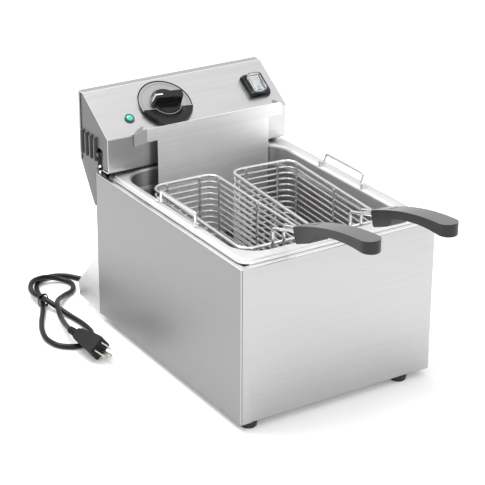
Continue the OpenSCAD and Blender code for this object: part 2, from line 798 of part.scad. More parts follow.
// Round skirt with a raised grip bar across it; the bar's left end points at the dial.
module knob() {
  color(black_plastic) at_bench() on_panel(dial_spot[0], dial_spot[1]) rotate([0, 0, dial_turn])
    difference() {
      union() {
        translate([0, 0, 3.4]) cylinder(h = 3, r = knob_r, $fn = 96);
        translate([0, 0, 6.4]) cylinder(h = 2.6, r1 = knob_r, r2 = knob_r - 2.5, $fn = 96);
        intersection() {
          translate([-knob_r - 1, 0, 0]) rotate([90, 0, 90]) linear_extrude(2 * knob_r + 2)
            polygon([[-8, 5], [-5.5, 12], [-5, 21], [-4, 22.2], [4, 22.2], [5, 21], [5.5, 12], [8, 5]]);
          translate([0, 0, 5]) cylinder(h = 18, r1 = knob_r, r2 = knob_r - 1.5, $fn = 96);
        }
      }
      // Pointer groove
      translate([-knob_r - 1, -0.8, 21.6]) cube([12, 1.6, 2]);
      // Socket for the shaft
      translate([0, 0, 2]) cylinder(h = 12, r = shaft_r - 0.02);
    }
}

module knob_shaft() {
  color(dull_steel) at_bench() on_panel(dial_spot[0], dial_spot[1])
    translate([0, 0, -13]) cylinder(h = 26.5, r = shaft_r - 0.02);
}

pivot_z = 4;
rocker_r = 12;
rocker_w = 14;

module switch_frame() {
  opening = [rocker_w + 0.6, 2 * rocker_r + 0.8];
  color(black_plastic) at_bench() on_panel(switch_spot[0], switch_spot[1]) difference() {
    union() {
      translate([0, 0, 0.1]) linear_extrude(3) round_rect(frame_size[0], -frame_size[1] / 2, frame_size[1] / 2, 2.5);
      translate([0, 0, 3.1]) linear_extrude(4)
        round_rect(frame_size[0] - 2.4, -frame_size[1] / 2 + 1.2, frame_size[1] / 2 - 1.2, 2);
      translate([0, 0, -11]) cube([frame_size[0] - 7, frame_size[1] - 6, 22.4], center = true);
    }
    translate([-opening[0] / 2, -opening[1] / 2, -12]) cube([opening[0], opening[1], 30]);
    translate([0, 0, pivot_z]) rotate([0, 90, 0]) cylinder(h = 20, r = 1.26, center = true);
  }
}

module rocker() {
  color(bright_steel) at_bench() on_panel(switch_spot[0], switch_spot[1])
    translate([0, 0, pivot_z]) rotate([rock_angle / 2, 0, 0]) union() {
      rotate([90, 0, 90]) translate([0, 0, -rocker_w / 2]) linear_extrude(rocker_w) intersection() {
        circle(rocker_r, $fn = 96);
        polygon([[-15, -2], [15, -2], [15, 4.8], [0, 3.4], [-15, 4.8]]);
      }
      rotate([0, 90, 0]) cylinder(h = 19, r = 1.2, center = true);
    }
}

// Clear splash cover over the rocker
module switch_cover() {
  color(splash_clear) at_bench() on_panel(switch_spot[0], switch_spot[1]) difference() {
    translate([0, 0, 7.2]) linear_extrude(5) round_rect(18.4, -14.5, 14.5, 4.5);
    translate([0, 0, 6]) linear_extrude(5.2) round_rect(16.4, -13.5, 13.5, 3.5);
  }
}

module reset_button() {
  color(rubber_black) at_bench() translate([limiter_spot[0], head_back_y + 2.6, limiter_spot[1]])
    rotate([90, 0, 0]) union() {
      cylinder(h = 1, r1 = button_r - 0.6, r2 = button_r - 0.02);
      translate([0, 0, 1]) cylinder(h = 8, r = button_r - 0.02);
    }
}

// ---- Wire baskets ----
// Wires are drawn about the basket's middle: x across, y along, z from the bench.
half_w = basket_w / 2;
half_l = basket_l / 2;
ring_zs = [for (i = [1 : ring_count]) rim_z - i * ring_pitch];
side_posts = [-half_l + 20, 0, half_l - 20];
end_posts = [-23, 23];
post_in = ring_r + upright_r - weld;
side_foot_z = basket_floor_z + ring_r + upright_r - weld;
end_foot_z = side_foot_z + 2 * upright_r - weld;
foot_bend = 5;
end_bend = 2;

module place_basket(spot, turn) {
  at_bench() translate([spot[0], spot[1], 0]) rotate([0, 0, turn]) children();
}

module rim_wire() {
  c = basket_corner;
  for (s = [-1, 1]) {
    rod([s * half_w, -half_l + c, rim_z], [s * half_w, half_l - c, rim_z], rim_r);
    rod([-half_w + c, s * half_l, rim_z], [half_w - c, s * half_l, rim_z], rim_r);
  }
  for (a = [0, 180]) rotate([0, 0, a]) {
    translate([half_w - c, half_l - c, rim_z]) rotate_extrude(angle = 90) translate([c, 0]) circle(rim_r);
    translate([-half_w + c, half_l - c, rim_z]) rotate([0, 0, 90]) rotate_extrude(angle = 90)
      translate([c, 0]) circle(rim_r);
  }
}

// Both long walls: straight wires, with uprights welded inside them that bend under the floor.
module side_wires() {
  reach = half_l - basket_corner;
  for (s = [-1, 1]) union() {
    for (z = ring_zs) rod([s * half_w, -reach, z], [s * half_w, reach, z], ring_r);
    for (y = side_posts) bent_wire([
      [s * (half_w - post_in), y, rim_z],
      [s * (half_w - post_in), y, side_foot_z],
      [s * (half_w - post_in - foot_bend), y, side_foot_z]
    ], upright_r, foot_bend);
  }
}

// Both end walls, whose wires carry the basket's round corners.
module end_wires() {
  c = basket_corner;
  for (s = [-1, 1]) union() {
    for (z = ring_zs) {
      rod([-half_w + c, s * half_l, z], [half_w - c, s * half_l, z], ring_r);
      translate([s * (half_w - c), s * (half_l - c), z]) rotate([0, 0, s < 0 ? 180 : 0])
        rotate_extrude(angle = 90) translate([c, 0]) circle(ring_r);
      translate([-s * (half_w - c), s * (half_l - c), z]) rotate([0, 0, s < 0 ? 270 : 90])
        rotate_extrude(angle = 90) translate([c, 0]) circle(ring_r);
    }
    for (x = end_posts) bent_wire([
      [x, s * (half_l - post_in), rim_z],
      [x, s * (half_l - post_in), end_foot_z],
      [x, s * (half_l - post_in - end_bend), end_foot_z]
    ], upright_r, end_bend);
  }
}

module floor_wires() {
  across_reach = half_w - post_in - foot_bend;
  along_reach = half_l - post_in - end_bend;
  for (x = [-36 : 9 : 36]) rod([x, -half_l + 4, basket_floor_z], [x, half_l - 4, basket_floor_z], ring_r);
  for (y = side_posts) rod([-across_reach, y, side_foot_z], [across_reach, y, side_foot_z], upright_r);
  for (x = end_posts) rod([x, -along_reach, end_foot_z], [x, along_reach, end_foot_z], upright_r);
}

yoke_x = 7.5;
yoke_r = 2;
yoke_y = -half_l - rim_r - yoke_r + weld;
yoke_rise = 21;
socket = 16;
function yoke_lean() = atan2(root_z - 6 - rim_z - yoke_rise, yoke_y - root_y);

// Each yoke wire climbs the basket's front, bends forward and ends inside the grip.
module yoke_wires(extra = 0) {
  lean = yoke_lean();
  bend = 6;
  cut = bend * tan((90 - lean) / 2);
  run = (yoke_y - root_y) / cos(lean) + socket - cut;
  for (x = [-yoke_x, yoke_x]) translate([x, yoke_y, rim_z + yoke_rise]) union() {
    translate([0, 0, -yoke_rise - 18]) cylinder(h = yoke_rise + 18 - cut + 0.02, r = yoke_r + extra);
    translate([0, -bend, -cut]) rotate([90, 0, 90]) rotate_extrude(angle = 90 - lean)
      translate([bend, 0]) circle(yoke_r + extra);
    rotate([90 - lean, 0, 0]) translate([0, 0, cut - 0.02]) cylinder(h = run, r = yoke_r + extra);
    // Tack joint where the bend ends
    rotate([90 - lean, 0, 0]) translate([0, 0, cut - 0.2]) cylinder(h = 0.4, r = yoke_r + extra + 0.02);
    translate([0, 0, -cut - 0.2]) cylinder(h = 0.4, r = yoke_r + extra + 0.02);
  }
}

// Grip: a long bar that rises and flattens, thickest at its root and tip, with a block under its root.
function grip_top(t) = 0.425 * t - 0.00125 * t * t;
function grip_thick(t) = 10 + 5 * pow((t - 70) / 75, 2);

module grip_side() {
  steps = 14;
  neck = 45;
  top = [for (i = [0 : steps]) let (t = grip_l * i / steps) [-t, grip_top(t)]];
  low = [for (i = [steps : -1 : 0]) let (t = neck + (grip_l - neck) * i / steps)
    [-t, grip_top(t) - grip_thick(t)]];
  polygon(concat(top, low, [
    [-42, grip_top(42) - 17],
    [-36, grip_top(36) - 20],
    [-8, grip_top(8) - 21.5],
    [-5, grip_top(5) - 19.5],
    [0, grip_top(0) - 4]
  ]));
}

module grip_plan() {
  r = grip_w / 2;
  waist = 10.5;
  flare = 34;
  steps = 8;
  edge = [for (i = [0 : steps]) let (u = i / steps)
    [waist + (r - waist) * (0.5 - 0.5 * cos(180 * u)), -flare * u]];
  tip = [for (i = [0 : 24]) let (a = 180 * i / 24) [r * cos(a), r - grip_l - r * sin(a)]];
  polygon(concat(edge, tip, reversed([for (p = edge) [-p[0], p[1]]])));
}

module grip_bar() {
  translate([0, root_y, root_z]) difference() {
    intersection() {
      across(-grip_w, grip_w) grip_side();
      translate([0, 0, -60]) linear_extrude(160) grip_plan();
    }
    // Small slot in the top, near the root
    translate([0, -30, grip_top(30) - 1.2]) rotate([-atan2(grip_top(36) - grip_top(24), 12), 0, 0]) {
      translate([-5, -1.5, 0]) cube([10, 3, 12]);
      for (x = [-5, 5]) translate([x, 0, 0]) cylinder(h = 12, r = 1.5);
    }
  }
}

module grip() {
  color(grip_plastic) difference() {
    grip_bar();
    yoke_wires(0.05);
  }
}

module left_basket_rim() { color(bright_steel) place_basket(left_spot, left_turn) rim_wire(); }
module left_basket_ends() { color(bright_steel) place_basket(left_spot, left_turn) end_wires(); }
module left_basket_sides() { color(bright_steel) place_basket(left_spot, left_turn) side_wires(); }
module left_basket_floor() { color(bright_steel) place_basket(left_spot, left_turn) floor_wires(); }
module left_basket_yoke() { color(bright_steel) place_basket(left_spot, left_turn) yoke_wires(); }
module left_basket_grip() { place_basket(left_spot, left_turn) grip(); }
module right_basket_rim() { color(bright_steel) place_basket(right_spot, right_turn) rim_wire(); }
module right_basket_ends() { color(bright_steel) place_basket(right_spot, right_turn) end_wires(); }
module right_basket_sides() { color(bright_steel) place_basket(right_spot, right_turn) side_wires(); }
module right_basket_floor() { color(bright_steel) place_basket(right_spot, right_turn) floor_wires(); }
module right_basket_yoke() { color(bright_steel) place_basket(right_spot, right_turn) yoke_wires(); }
module right_basket_grip() { place_basket(right_spot, right_turn) grip(); }

// ---- Mains lead ----
// The route from the strain relief to the plug, over the bench behind and beside the machine:
// x, depth behind the housing's front face, and height.
cord_route = [
  [-70, 372, 174], [-70, 372, 150], [-70, 373, 120], [-71, 378, 90], [-73, 388, 60],
  [-78, 404, 32], [-86, 424, 12], [-95, 446, 4.5], [-104, 466, 3.6], [-116, 483, 3.6],
  [-134, 491, 3.6], [-153, 486, 3.6], [-166, 470, 3.6], [-173, 448, 4.2], [-180, 422, 5],
  [-192, 397, 4.2], [-206, 372, 3.6], [-217, 347, 3.6], [-222, 322, 3.6], [-216, 299, 3.6],
  [-197, 286, 3.6], [-176, 292, 3.6], [-165, 312, 3.6], [-163, 338, 3.6], [-166, 366, 3.6],
  [-173, 391, 8], [-180, 413, 12.6], [-184, 436, 11.5], [-180, 458, 10], [-167, 476, 10.8],
  [-146, 482, 9], [-127, 473, 5], [-120, 455, 3.6], [-129, 436, 3.6], [-148, 423, 6],
  [-165, 406, 10], [-176, 385, 12.6], [-185, 358, 11], [-193, 330, 15], [-199, 303, 20]
];
cord_sides = 8;
ring_steps = 2;

// Catmull-Rom curve through the route's points.
function route_point(i) = cord_route[max(0, min(len(cord_route) - 1, i))];
function between(i, u) =
  let (a = route_point(i - 1), b = route_point(i), c = route_point(i + 1), d = route_point(i + 2))
  0.5 * (2 * b + (c - a) * u + (2 * a - 5 * b + 4 * c - d) * u * u + (3 * b - a - 3 * c + d) * u * u * u);
cord_line = concat(
  [for (i = [0 : len(cord_route) - 2], k = [0 : ring_steps - 1]) between(i, k / ring_steps)],
  [cord_route[len(cord_route) - 1]]
);

function cord_heading(i) =
  (i == 0) ? [0, 0, -1] : dir(cord_line[max(0, i - 1)], cord_line[min(len(cord_line) - 1, i + 1)]);

// A side direction carried along the line without twisting.
function carried(v, h) = (v - h * (v * h)) / norm(v - h * (v * h));
function side_dirs(i = 0, v = [1, 0, 0], list = []) =
  (i == len(cord_line)) ? list :
  let (w = carried(v, cord_heading(i))) side_dirs(i + 1, w, concat(list, [w]));

module power_cord() {
  sides = side_dirs();
  n = cord_sides;
  last = len(cord_line) - 1;
  points = [for (i = [0 : last]) let (u = sides[i], w = cross(cord_heading(i), u))
    for (k = [0 : n - 1]) let (a = 360 * k / n)
      cord_line[i] + (u * cos(a) + w * sin(a)) * cord_d / 2];
  tube = [for (i = [0 : last - 1], k = [0 : n - 1])
    [i * n + k, i * n + (k + 1) % n, (i + 1) * n + (k + 1) % n, (i + 1) * n + k]];
  color(rubber_black) at_bench() polyhedron(
    points = points,
    faces = concat(
      [for (q = tube) each [[q[0], q[2], q[1]], [q[0], q[3], q[2]]]],
      [for (k = [1 : n - 2]) [0, k, k + 1]],
      [for (k = [1 : n - 2]) [last * n, last * n + k + 1, last * n + k]]
    )
  );
}

// Ribbed, tapered sleeve that the lead hangs from.
module strain_relief() {
  top = head_bottom;
  low = cord_route[0][2];
  color(rubber_black) at_bench() translate([cord_exit[0], cord_exit[1], 0]) difference() {
    union() {
      translate([0, 0, top + sheet]) cylinder(h = 3, r = 9);
      translate([0, 0, top - 0.1]) cylinder(h = 2, r = 7);
      translate([0, 0, top - 3]) cylinder(h = 2.9, r = 9);
      translate([0, 0, low]) cylinder(h = top - 2.9 - low, r1 = 4.6, r2 = 6.8);
    }
    for (z = [low + 6 : 6 : top - 10]) translate([0, 0, z]) difference() {
      cylinder(h = 1.6, r = 10);
      translate([0, 0, -1]) cylinder(h = 4, r = 4.3);
    }
  }
}

// Band round the two strands, where the coiled lead crosses itself
module cord_tie() {
  color(rubber_black) at_bench() translate([-180.5, 419, 8.9]) rotate([90, 0, -14])
    translate([0, 0, -2.5]) linear_extrude(5) difference() {
      round_rect(13.2, -8.7, 8.7, 4.2);
      round_rect(11.6, -7.9, 7.9, 3.4);
    }
}

plug_turn = -80;
plug_dip = 3.2;
plug_roll = 38;
plug_len = 44;
sleeve_len = 16;

// Stands a plug drawn along +x from the end of the lead.
module at_plug() {
  at_bench() translate(cord_route[len(cord_route) - 1])
    rotate([0, 0, plug_turn]) rotate([0, plug_dip, 0]) rotate([plug_roll, 0, 0]) children();
}

module plug_body() {
  face = 26;
  color(black_plastic) at_plug() difference() {
    union() {
      difference() {
        rotate([0, 90, 0]) cylinder(h = sleeve_len, r1 = 4.6, r2 = 5.6);
        for (x = [3 : 4 : 13]) translate([x, 0, 0]) rotate([0, 90, 0]) difference() {
          cylinder(h = 1.4, r = 9);
          translate([0, 0, -1]) cylinder(h = 4, r = 4.2);
        }
      }
      intersection() {
        translate([0, 0, -20]) linear_extrude(40) polygon([
          [sleeve_len - 1, -6], [sleeve_len + 6, -8.5], [sleeve_len + 22, -9.5], [sleeve_len + 30, -11.5],
          [plug_len + sleeve_len - 2, -12.5], [plug_len + sleeve_len, -11.5],
          [plug_len + sleeve_len, 11.5], [plug_len + sleeve_len - 2, 12.5], [sleeve_len + 30, 11.5],
          [sleeve_len + 22, 9.5], [sleeve_len + 6, 8.5], [sleeve_len - 1, 6]
        ]);
        translate([0, 20, 0]) rotate([90, 0, 0]) linear_extrude(40) polygon([
          [sleeve_len - 1, -6], [sleeve_len + 8, -8], [sleeve_len + 30, -10.5], [plug_len + sleeve_len, -11],
          [plug_len + sleeve_len, 9], [sleeve_len + 30, 9], [sleeve_len + 8, 7.5], [sleeve_len - 1, 6]
        ]);
      }
    }
    // Finger grooves across the top
    for (x = [sleeve_len + 10 : 5 : sleeve_len + 20])
      translate([x, -20, 8.2]) cube([1.6, 40, 4]);
  }
}

module plug_pins() {
  front = plug_len + sleeve_len;
  color(brass_yellow) at_plug() {
    for (y = [-6.35, 6.35]) translate([front - 6, y - 0.75, -0.2]) difference() {
      cube([23, 1.5, 6.3]);
      translate([19, -1, 3.15]) rotate([-90, 0, 0]) cylinder(h = 4, r = 1.5);
    }
    translate([front - 6, 0, -6.4]) rotate([0, 90, 0]) union() {
      cylinder(h = 22, r = 2.4);
      translate([0, 0, 22]) sphere(2.4);
    }
  }
}

front_panel();
left_panel();
right_panel();
back_panel();
base_plate();
rubber_feet();
foot_screws();
rear_spacers();
head_bracket();
rear_rivets();
oil_tank();
bail_clips();
left_bail();
right_bail();
head_casing();
head_left_side();
head_right_side();
head_back_cover();
head_bottom_plate();
cover_screws();
basket_hanger();
guard_plate();
heating_elements();
sensor_bulbs();
sensor_clamp();
thermostat();
limiter();
terminal_block();
lamp_bezel();
lamp_lens();
dial_bezel();
dial_plate();
switch_frame();
switch_cover();
knob();
knob_shaft();
rocker();
reset_button();
left_basket_rim();
left_basket_ends();
left_basket_sides();
left_basket_floor();
left_basket_yoke();
left_basket_grip();
right_basket_rim();
right_basket_ends();
right_basket_sides();
right_basket_floor();
right_basket_yoke();
right_basket_grip();
strain_relief();
power_cord();
cord_tie();
plug_body();
plug_pins();
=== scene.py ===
"""Looks for the countertop deep fryer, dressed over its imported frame."""

import json
import math

import bmesh
import bpy
from mathutils import Matrix, Vector


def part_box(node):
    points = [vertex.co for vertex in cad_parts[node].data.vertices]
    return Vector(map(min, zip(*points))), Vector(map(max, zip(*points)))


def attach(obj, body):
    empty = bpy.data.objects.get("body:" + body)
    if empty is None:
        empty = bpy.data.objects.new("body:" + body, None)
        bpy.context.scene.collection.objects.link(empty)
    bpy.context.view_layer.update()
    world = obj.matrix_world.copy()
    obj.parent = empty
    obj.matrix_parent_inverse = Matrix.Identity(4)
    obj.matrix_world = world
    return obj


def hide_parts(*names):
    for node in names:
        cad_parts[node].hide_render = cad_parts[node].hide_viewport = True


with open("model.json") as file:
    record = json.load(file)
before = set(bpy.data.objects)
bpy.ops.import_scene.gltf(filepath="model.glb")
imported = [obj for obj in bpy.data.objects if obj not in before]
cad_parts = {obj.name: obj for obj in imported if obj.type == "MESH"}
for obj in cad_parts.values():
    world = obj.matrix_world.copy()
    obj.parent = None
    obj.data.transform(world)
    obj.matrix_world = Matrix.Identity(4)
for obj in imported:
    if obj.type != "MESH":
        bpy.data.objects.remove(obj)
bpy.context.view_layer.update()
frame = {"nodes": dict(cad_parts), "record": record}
scene = bpy.context.scene
MM = 0.001
BASKETS = ("left_basket", "right_basket")

# The housing's front face stands this far from the origin.
FRONT_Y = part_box("front_panel")[0][1]


def bench(x, depth, height):
    """A point from its millimetres across, behind the housing's front face, and above the bench."""
    return Vector((x * MM, depth * MM + FRONT_Y, height * MM))


# ---------------------------------------------------------------- camera
LENS = 129.26
SENSOR_WIDTH = 36
FARTHEST_SEEN = 50
CAMERA_AT = bench(-1063.46, -1475.56, 1008.42)
CAMERA_AZIMUTH = math.radians(32.22)
CAMERA_TILT = math.radians(23.81)
CAMERA_ROLL = math.radians(0.24)


def make_camera():
    data = bpy.data.cameras.new("camera")
    data.lens = LENS
    data.sensor_width = SENSOR_WIDTH
    data.sensor_fit = "HORIZONTAL"
    data.clip_end = FARTHEST_SEEN
    camera = bpy.data.objects.new("camera", data)
    turn = (
        Matrix.Rotation(-CAMERA_AZIMUTH, 4, "Z")
        @ Matrix.Rotation(math.pi / 2 - CAMERA_TILT, 4, "X")
        @ Matrix.Rotation(CAMERA_ROLL, 4, "Z")
    )
    camera.matrix_world = Matrix.Translation(CAMERA_AT) @ turn
    scene.collection.objects.link(camera)
    scene.camera = camera


make_camera()


# ---------------------------------------------------------------- materials
# Noise runs over this span of its values before a colour or a roughness reaches its end.
NOISE_SPAN = (0.3, 0.7)
NOISE_ROUGHNESS = 0.6
BRUSH_DETAIL, BRUSH_BUMP, BRUSH_DEPTH = 3.0, 0.25, 0.00002
BRUSH_ROUGHNESS = 0.04
BRUSH_TINTS = (0.94, 1.04)
GRAIN_DETAIL, GRAIN_BUMP, GRAIN_DEPTH = 2.0, 0.3, 0.00003


def grey(value, blue=0.0):
    """A grey, or one that leans a little to blue."""
    return (value, value, value + blue)


def opaque(colour):
    return (*colour, 1)


def new_material(name, base, metallic, roughness, **sockets):
    """A Principled material with constant values on the shader's own sockets."""
    m = bpy.data.materials.new(name)
    m.use_nodes = True
    shader = m.node_tree.nodes["Principled BSDF"]
    shader.inputs["Base Color"].default_value = opaque(base)
    shader.inputs["Metallic"].default_value = metallic
    shader.inputs["Roughness"].default_value = roughness
    for socket, value in sockets.items():
        shader.inputs[socket.replace("_", " ")].default_value = value
    return m


def node(m, kind, **values):
    n = m.node_tree.nodes.new(kind)
    for key, value in values.items():
        if key in n.inputs:
            n.inputs[key].default_value = value
        else:
            setattr(n, key, value)
    return n


def join(m, a, out, b, into):
    m.node_tree.links.new(a.outputs[out], b.inputs[into])


def streaks(m, stretch, detail):
    """Noise drawn out along the axis where stretch is small, as a brushing belt leaves it."""
    place = node(m, "ShaderNodeTexCoord")
    spread = node(m, "ShaderNodeMapping")
    spread.inputs["Scale"].default_value = stretch
    noise = node(m, "ShaderNodeTexNoise", Scale=1.0, Detail=detail, Roughness=NOISE_ROUGHNESS)
    join(m, place, "Object", spread, "Vector")
    join(m, spread, "Vector", noise, "Vector")
    return noise


def add_bump(m, noise, strength, distance):
    shader = m.node_tree.nodes["Principled BSDF"]
    bump = node(m, "ShaderNodeBump", Strength=strength, Distance=distance)
    join(m, noise, "Fac", bump, "Height")
    join(m, bump, "Normal", shader, "Normal")


def add_roughness(m, noise, low, high):
    shader = m.node_tree.nodes["Principled BSDF"]
    span = node(m, "ShaderNodeMapRange")
    limits = (*NOISE_SPAN, low, high)
    for socket, value in zip(("From Min", "From Max", "To Min", "To Max"), limits):
        span.inputs[socket].default_value = value
    join(m, noise, "Fac", span, "Value")
    join(m, span, "Result", shader, "Roughness")


def add_tint(m, noise, low, high):
    shader = m.node_tree.nodes["Principled BSDF"]
    ramp = node(m, "ShaderNodeValToRGB")
    for stop, position, colour in zip(ramp.color_ramp.elements, NOISE_SPAN, (low, high)):
        stop.position = position
        stop.color = opaque(colour)
    join(m, noise, "Fac", ramp, "Fac")
    join(m, ramp, "Color", shader, "Base Color")


def brushed(name, base, roughness, stretch):
    m = new_material(name, base, 1.0, roughness)
    noise = streaks(m, stretch, BRUSH_DETAIL)
    add_bump(m, noise, BRUSH_BUMP, BRUSH_DEPTH)
    add_roughness(m, noise, roughness - BRUSH_ROUGHNESS, roughness + BRUSH_ROUGHNESS)
    low, high = BRUSH_TINTS
    add_tint(m, noise, [c * low for c in base], [min(1, c * high) for c in base])
    return m


def polished(name, base, roughness):
    return new_material(name, base, 1.0, roughness)


def plastic(name, base, roughness, **sockets):
    return new_material(name, base, 0.0, roughness, **sockets)


def grained(name, base, roughness, scale, **sockets):
    """Moulded plastic or rubber with a fine leathery grain."""
    m = plastic(name, base, roughness, **sockets)
    add_bump(m, streaks(m, (scale, scale, scale), GRAIN_DETAIL), GRAIN_BUMP, GRAIN_DEPTH)
    return m


# Streaks to the metre along X, Y and Z: the few lie along the brushing.
ACROSS = (6, 900, 900)
ALONG = (900, 6, 900)
UPRIGHT = (900, 900, 6)

front_steel = brushed("front sheet", grey(0.50), 0.34, ACROSS)
# A bright polished copy of the steel, a painted highlight on the panels' top hems and the head's
# upper bend.
painted_highlight_steel = polished("painted highlight steel", grey(0.97), 0.25)
side_steel = brushed("side sheet", grey(0.32, 0.002), 0.48, ALONG)
spacer_steel = brushed("spacer sheet", grey(0.74), 0.50, ALONG)
cheek_steel = brushed("cheek sheet", grey(0.155, 0.002), 0.42, UPRIGHT)
rear_steel = brushed("rear sheet", grey(0.40), 0.38, ACROSS)
inner_steel = brushed("mill sheet", grey(0.46, 0.01), 0.45, ACROSS)
tank_steel = brushed("tank sheet", grey(0.90), 0.42, ALONG)
# Darker copies of the tank steel, painted shade down the tank's wall and in its well.
tank_wall_painted_shade = brushed("tank wall painted shade", grey(0.66), 0.34, ALONG)
tank_well_painted_shade = brushed("tank well painted shade", grey(0.40), 0.34, ALONG)
head_steel = brushed("head sheet", grey(0.62), 0.32, ACROSS)
guard_steel = brushed("guard sheet", grey(0.97), 0.50, ACROSS)
rail_steel = brushed("rail sheet", grey(0.90), 0.55, ACROSS)
# A darker copy of the rail steel, painted shade on the rail's left-facing ends.
rail_end_painted_shade = brushed("rail end painted shade", grey(0.28), 0.45, UPRIGHT)
# Near-black steel for the head bracket and its studs, painted shade for the dark slot they sit in.
bracket_painted_shade = brushed("bracket sheet painted shade", grey(0.10), 0.45, ACROSS)
screw_steel = polished("plated steel", grey(0.78, 0.01), 0.22)
wire_steel = polished("plated wire", grey(0.82), 0.18)
element_metal = polished("element sheath", grey(0.36), 0.35)
copper = polished("sensor bulb", (0.72, 0.50, 0.34), 0.35)
dial_silver = polished("dial face", grey(0.44), 0.38)
pin_metal = polished("plug pins", (0.56, 0.55, 0.50), 0.25)
grip_plastic = grained("grip plastic", grey(0.024, 0.001), 0.36, 2500, Specular_IOR_Level=0.3)
# A lighter copy of the grip plastic, painted light for the grips' upward faces.
grip_top_painted_light = grained("grip top", grey(0.130, 0.002), 0.32, 2500)
foot_rubber = grained("foot rubber", grey(0.020), 0.7, 1800)
plug_rubber = grained("plug rubber", grey(0.006), 0.5, 2200, Specular_IOR_Level=0.3)
cord_rubber = plastic("cord sheath", grey(0.005), 0.30, Specular_IOR_Level=0.30)
gloss_black = plastic("gloss black", grey(0.005), 0.22, Specular_IOR_Level=0.42)
rocker_white = plastic("rocker", (0.80, 0.82, 0.83), 0.25)
clear_cover = plastic(
    "clear cover", (0.95, 0.97, 0.98), 0.08, Transmission_Weight=1.0, IOR=1.40
)
ceramic = plastic("ceramic", (0.78, 0.76, 0.70), 0.6)
lamp_green = plastic("lamp rim", (0.0, 0.07, 0.045), 0.2, Coat_Weight=0.4)
lens_green = plastic(
    "lamp lens", (0.03, 0.46, 0.34), 0.06, Coat_Weight=1.0,
    Emission_Color=opaque((0.35, 1.0, 0.85)), Emission_Strength=0.14,
)
pointer_white = plastic("pointer paint", grey(0.90), 0.4)
# Grey plastic for a painted highlight along the black dial guard's edge.
guard_edge_highlight = plastic("guard edge", grey(0.45), 0.25)
print_grey = plastic("printed line", grey(0.16), 0.5)
# Near-black painted shade, for the shadow in joint gaps, in the cheeks' louvre slits and under the
# tank's lip on the left.
painted_shade_dark = plastic("seam", grey(0.03), 0.6)

FINISHES = {
    "front_panel": front_steel,
    "left_panel": side_steel,
    "right_panel": side_steel,
    "back_panel": rear_steel,
    "rear_spacers": spacer_steel,
    "head_bracket": bracket_painted_shade,
    "base_plate": inner_steel,
    "head_bottom_plate": inner_steel,
    "sensor_clamp": inner_steel,
    "oil_tank": tank_steel,
    "head_casing": head_steel,
    "head_left_side": cheek_steel,
    "head_right_side": cheek_steel,
    "head_back_cover": rear_steel,
    "guard_plate": guard_steel,
    "basket_hanger": rail_steel,
    "foot_screws": screw_steel,
    "rear_rivets": screw_steel,
    "cover_screws": screw_steel,
    "knob_shaft": screw_steel,
    "bail_clips": screw_steel,
    "left_bail": wire_steel,
    "right_bail": wire_steel,
    "heating_elements": element_metal,
    "sensor_bulbs": copper,
    "dial_bezel": gloss_black,
    "switch_frame": gloss_black,
    "knob": gloss_black,
    "reset_button": gloss_black,
    "dial_plate": dial_silver,
    "rocker": rocker_white,
    "switch_cover": clear_cover,
    "thermostat": ceramic,
    "limiter": ceramic,
    "terminal_block": ceramic,
    "lamp_bezel": lamp_green,
    "lamp_lens": lens_green,
    "rubber_feet": foot_rubber,
    "strain_relief": plug_rubber,
    "cord_tie": plug_rubber,
    "plug_body": plug_rubber,
    "plug_pins": pin_metal,
}
for basket in BASKETS:
    for wires in ("rim", "ends", "sides", "floor", "yoke"):
        FINISHES[f"{basket}_{wires}"] = wire_steel
    FINISHES[f"{basket}_grip"] = grip_plastic

BODY_OF = {n: body for body, ns in frame["record"]["behaviour"]["bodies"].items() for n in ns}


# ---------------------------------------------------------------- mains lead
CORD_DIAMETER = 0.007
CORD_ROUNDNESS, CORD_STEPS = 5, 8
HANDLE_PART = 6
# The route's points as bench() takes them, from the strain relief to the plug.
CORD_ROUTE = [
    (-70, 372, 174), (-70, 372, 150), (-70, 373, 120), (-71, 378, 90), (-73, 388, 60),
    (-78, 404, 32), (-86, 424, 12), (-95, 446, 4.5), (-104, 466, 3.6), (-116, 483, 3.6),
    (-134, 491, 3.6), (-153, 486, 3.6), (-166, 470, 3.6), (-173, 448, 4.2), (-180, 422, 5),
    (-192, 397, 4.2), (-206, 372, 3.6), (-217, 347, 3.6), (-222, 322, 3.6), (-216, 299, 3.6),
    (-197, 286, 3.6), (-176, 292, 3.6), (-165, 312, 3.6), (-163, 338, 3.6), (-166, 366, 3.6),
    (-173, 391, 8), (-180, 413, 12.6), (-184, 436, 11.5), (-180, 458, 10), (-167, 476, 10.8),
    (-146, 482, 9), (-127, 473, 5), (-120, 455, 3.6), (-129, 436, 3.6), (-148, 423, 6),
    (-165, 406, 10), (-176, 385, 12.6), (-185, 358, 11), (-193, 330, 15), (-199, 303, 20),
]


def make_cord():
    """The lead as one open spline that passes through every point of its route."""
    points = [bench(*p) for p in CORD_ROUTE]
    data = bpy.data.curves.new("mains_lead", "CURVE")
    data.dimensions = "3D"
    data.bevel_depth = CORD_DIAMETER / 2
    data.bevel_resolution = CORD_ROUNDNESS
    data.resolution_u = CORD_STEPS
    data.use_fill_caps = True
    spline = data.splines.new("BEZIER")
    spline.bezier_points.add(len(points) - 1)
    last = len(points) - 1
    for i, p in enumerate(points):
        ahead = points[min(i + 1, last)]
        behind = points[max(i - 1, 0)]
        handle = (ahead - behind) / HANDLE_PART
        spot = spline.bezier_points[i]
        spot.co = p
        spot.handle_left = p - handle
        spot.handle_right = p + handle
    data.materials.append(cord_rubber)
    lead = bpy.data.objects.new("mains_lead", data)
    scene.collection.objects.link(lead)
    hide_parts("power_cord")
    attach(lead, "head")


make_cord()


# ---------------------------------------------------------------- dressing
MERGE_DISTANCE = 2e-6
SHARP_ANGLE = math.radians(32)
FLAT_ANGLE = math.radians(1)
BEVEL_ANGLE = math.radians(35)
BEVEL_SEGMENTS = 2


